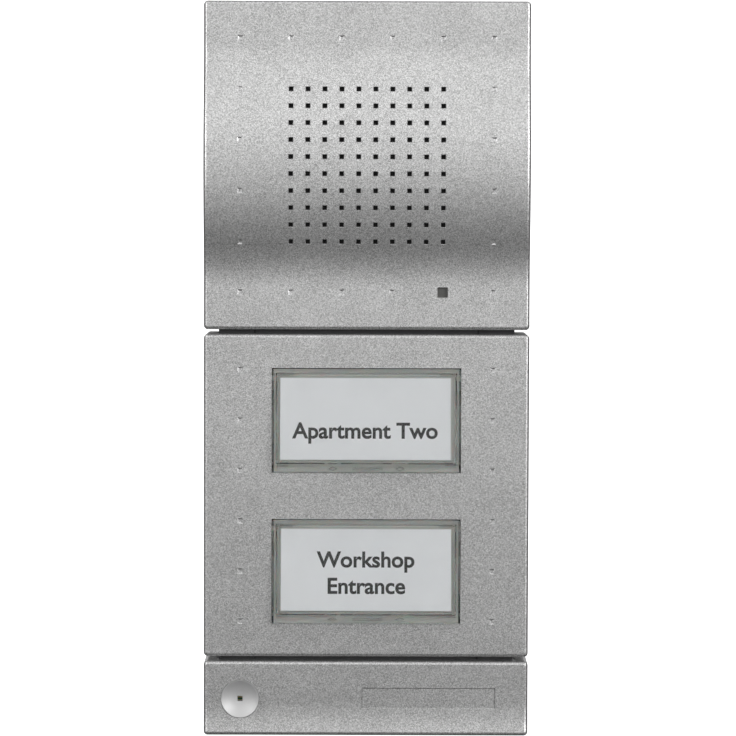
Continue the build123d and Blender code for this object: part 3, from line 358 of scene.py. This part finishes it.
# ---------------------------------------------------------------- name cards
CARD_TEXT = {1: ["Apartment Two"], 2: ["Workshop", "Entrance"]}
TEXT_HEIGHT = 6.7 * MM
TEXT_WEIGHT = 0.16 * MM      # how much each stroke is thickened
TEXT_THICKNESS = 0.008 * MM
TEXT_LIFT = 0.012 * MM       # from the card's front to the middle of the lettering's thickness
TEXT_DROP = {1: 3.8 * MM, 2: 1.1 * MM}    # how far the lettering's middle is below its card's
LINE_PITCH = 8.0 * MM
EDGE_BAND = 0.5 * MM         # vertices this close to a card's upper or lower end are on that edge


def card_plane(number):
    """Centre, downward direction and outward normal of a name card's front."""
    low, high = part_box(f"name_card_{number}")
    verts = [v.co for v in NODES[f"name_card_{number}"].data.vertices]
    top = min((v for v in verts if v.z > high.z - EDGE_BAND), key=lambda v: v.y)
    bottom = min((v for v in verts if v.z < low.z + EDGE_BAND), key=lambda v: v.y)
    down = Vector((0, bottom.y - top.y, bottom.z - top.z)).normalized()
    normal = Vector((0, down.z, -down.y))
    centre = Vector(((low.x + high.x) / 2, (top.y + bottom.y) / 2, (top.z + bottom.z) / 2))
    return centre, down, normal


def card_lettering(number, lines):
    """The lines of lettering on a name card, which go with its call button."""
    centre, down, normal = card_plane(number)
    drop = TEXT_DROP[number] - LINE_PITCH * (len(lines) - 1) / 2
    for index, words in enumerate(lines):
        curve = bpy.data.curves.new(f"card_text_{number}_{index + 1}", "FONT")
        curve.body = words
        curve.align_x = "CENTER"
        curve.align_y = "CENTER"
        curve.size = TEXT_HEIGHT
        curve.offset = TEXT_WEIGHT
        curve.extrude = TEXT_THICKNESS
        text = bpy.data.objects.new(curve.name, curve)
        scene.collection.objects.link(text)
        curve.materials.append(MATERIALS["printed_ink"])
        at = centre + down * (drop + LINE_PITCH * index) + normal * TEXT_LIFT
        upright = Matrix((Vector((1, 0, 0)), -down, normal)).transposed().to_4x4()
        text.matrix_world = Matrix.Translation(at) @ upright
        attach(text, f"call_button_{number}")


# ---------------------------------------------------------------- camera, light and floor
CAMERA_DISTANCE = 0.90
CAMERA_ELEVATION = math.radians(2.7)
CAMERA_ROLL = math.radians(0.17)
CAMERA_AIM = Vector((0.43 * MM, -22 * MM, 0.63 * MM))
FRAME_FILL = 1.001           # height of the panel over the height of the view
DOME_RADIUS = 4.0
FLOOR_HALF = DOME_RADIUS
LAMP_PLACES = {"key": (1.75, -2.45, 0.5), "fill": (-1.75, -2.45, 0.5)}
LAMP_POWER = {"key": 21, "fill": 8}
LAMP_SIZE = 0.5
BENCH_HALF = 2.5             # half the bench's width
BENCH_DEPTH = 1.0            # how far the bench comes forward from the wall
BENCH_HEIGHT = -0.15         # the bench's top, from the panel's middle


def add_camera():
    """A camera straight in front and slightly above, with the panel as high as the view."""
    low, high = CAD_BOUNDS
    back = Vector((0, -math.cos(CAMERA_ELEVATION), math.sin(CAMERA_ELEVATION)))
    data = bpy.data.cameras.new("camera")
    camera = bpy.data.objects.new("camera", data)
    scene.collection.objects.link(camera)
    turn = (-back).to_track_quat("-Z", "Y").to_matrix().to_4x4()
    place = Matrix.Translation(CAMERA_AIM + back * CAMERA_DISTANCE)
    camera.matrix_world = place @ turn @ Matrix.Rotation(CAMERA_ROLL, 4, "Z")
    data.lens = data.sensor_width * CAMERA_DISTANCE * FRAME_FILL / (high[2] - low[2])
    data.clip_start = 0.01
    scene.camera = camera


def add_lamp(name, shadow):
    """A soft square lamp that points at the panel's middle."""
    data = bpy.data.lights.new(name, "AREA")
    data.shape = "SQUARE"
    data.size = LAMP_SIZE
    data.energy = LAMP_POWER[name]
    data.use_shadow = shadow
    lamp = bpy.data.objects.new(name, data)
    scene.collection.objects.link(lamp)
    lamp.location = LAMP_PLACES[name]
    lamp.rotation_euler = (-lamp.location).to_track_quat("-Z", "Y").to_euler()


# How bright the studio is at each height of the sky, from straight down (0) to straight up (1). That is
# multiplied by how it falls off towards the back, from the front (0) to the white wall behind the panel
# (1), and by how bright the soft boxes are from the left (0) to the right (1).
SKY = [(0.0, 0.3), (0.3, 0.42), (0.44, 0.51), (0.5, 0.57), (0.56, 0.77), (0.65, 0.90), (0.80, 0.95),
       (1.0, 0.45)]
BACK_FALL = [(0.0, 1.0), (0.52, 1.0), (0.62, 0.12), (0.93, 0.08), (0.96, 0.9), (1.0, 0.9)]
SIDE_BOXES = [(0.0, 0.12), (0.09, 0.12), (0.12, 1.9), (0.25, 1.9), (0.31, 1.2), (0.69, 0.8), (0.75, 1.8),
              (0.88, 1.8), (0.91, 0.12), (1.0, 0.12)]


def world_ramp(tree, value, stops):
    """The grey at a direction's value, from -1 to 1, by the given stops from 0 to 1."""
    rise = tree.nodes.new("ShaderNodeMapRange")
    rise.inputs["From Min"].default_value = -1.0
    tree.links.new(value, rise.inputs["Value"])
    ramp = tree.nodes.new("ShaderNodeValToRGB")
    tree.links.new(rise.outputs[0], ramp.inputs["Fac"])
    elements = ramp.color_ramp.elements
    while len(elements) < len(stops):
        elements.new(0.5)
    for element, (position, grey) in zip(elements, stops):
        element.position = position
        element.color = (grey, grey, grey, 1)
    return ramp.outputs[0]


def add_world():
    """Soft surroundings: a bright sky with a soft box at each side, and a dark room beyond them."""
    world = bpy.data.worlds.new("studio")
    scene.world = world
    world.use_nodes = True
    tree = world.node_tree
    tree.nodes.clear()
    place = tree.nodes.new("ShaderNodeTexCoord")
    split = tree.nodes.new("ShaderNodeSeparateXYZ")
    tree.links.new(place.outputs["Generated"], split.inputs[0])
    light = world_ramp(tree, split.outputs["Z"], SKY)
    for axis, stops in (("Y", BACK_FALL), ("X", SIDE_BOXES)):
        product = tree.nodes.new("ShaderNodeMix")
        product.data_type = "RGBA"
        product.blend_type = "MULTIPLY"
        product.inputs[MIX_FACTOR].default_value = 1.0
        tree.links.new(light, product.inputs[MIX_A])
        tree.links.new(world_ramp(tree, split.outputs[axis], stops), product.inputs[MIX_B])
        light = product.outputs[MIX_RESULT]
    background = tree.nodes.new("ShaderNodeBackground")
    tree.links.new(light, background.inputs["Color"])
    output = tree.nodes.new("ShaderNodeOutputWorld")
    tree.links.new(background.outputs[0], output.inputs["Surface"])


def flat_mesh(name, left, right, near, far, height):
    """A level rectangle."""
    mesh = bpy.data.meshes.new(name)
    corners = [(left, near), (right, near), (right, far), (left, far)]
    mesh.from_pydata([(x, y, height) for x, y in corners], [], [(0, 1, 2, 3)])
    return mesh


def stage_piece(mesh, surface):
    """A piece of the studio, with the mesh's name."""
    mesh.materials.append(surface.material)
    piece = bpy.data.objects.new(mesh.name, mesh)
    scene.collection.objects.link(piece)
    return piece


def white_stage_piece(mesh):
    """A white piece of the studio that the camera sees, and that lights nothing and shows in no gloss."""
    surface = Surface(mesh.name)
    soft = surface.noise(0.4, detail=2.0)
    surface.principled(Base_Color=surface.mix(soft, (0.88, 0.88, 0.88), (0.90, 0.90, 0.90)), Roughness=0.9,
                       Emission_Color=(1, 1, 1, 1), Emission_Strength=1.0)
    piece = stage_piece(mesh, surface)
    piece.visible_glossy = False
    piece.visible_transmission = False
    piece.visible_diffuse = False
    return piece


def add_floor():
    """A plain pale floor under the panel."""
    low, _ = CAD_BOUNDS
    white_stage_piece(flat_mesh("floor", -FLOOR_HALF, FLOOR_HALF, -FLOOR_HALF, FLOOR_HALF, low[2]))


def add_bench():
    """A dark bench in front of the panel and just below it, which the camera doesn't see."""
    surface = Surface("bench")
    grain = surface.noise(0.02, detail=2.0)
    surface.principled(Base_Color=surface.mix(grain, (0.10, 0.10, 0.10), (0.14, 0.14, 0.14)), Roughness=0.9)
    bench = stage_piece(flat_mesh("bench", -BENCH_HALF, BENCH_HALF, -BENCH_DEPTH, 0.0, BENCH_HEIGHT), surface)
    bench.visible_camera = False


def add_backdrop():
    """A white dome all round."""
    sphere = bmesh.new()
    bmesh.ops.create_uvsphere(sphere, u_segments=48, v_segments=24, radius=DOME_RADIUS)
    mesh = bpy.data.meshes.new("backdrop")
    sphere.to_mesh(mesh)
    sphere.free()
    white_stage_piece(mesh).visible_shadow = False


dress_cad_nodes()
for part in frame["record"]["subparts"]:
    if part["node"] in STRETCHED:
        stretching_piece(part["node"], part["material_slot"], *STRETCHED[part["node"]])
for number, lines in CARD_TEXT.items():
    card_lettering(number, lines)
add_world()
add_floor()
add_bench()
add_backdrop()
add_lamp("key", shadow=True)
add_lamp("fill", shadow=False)
add_camera()
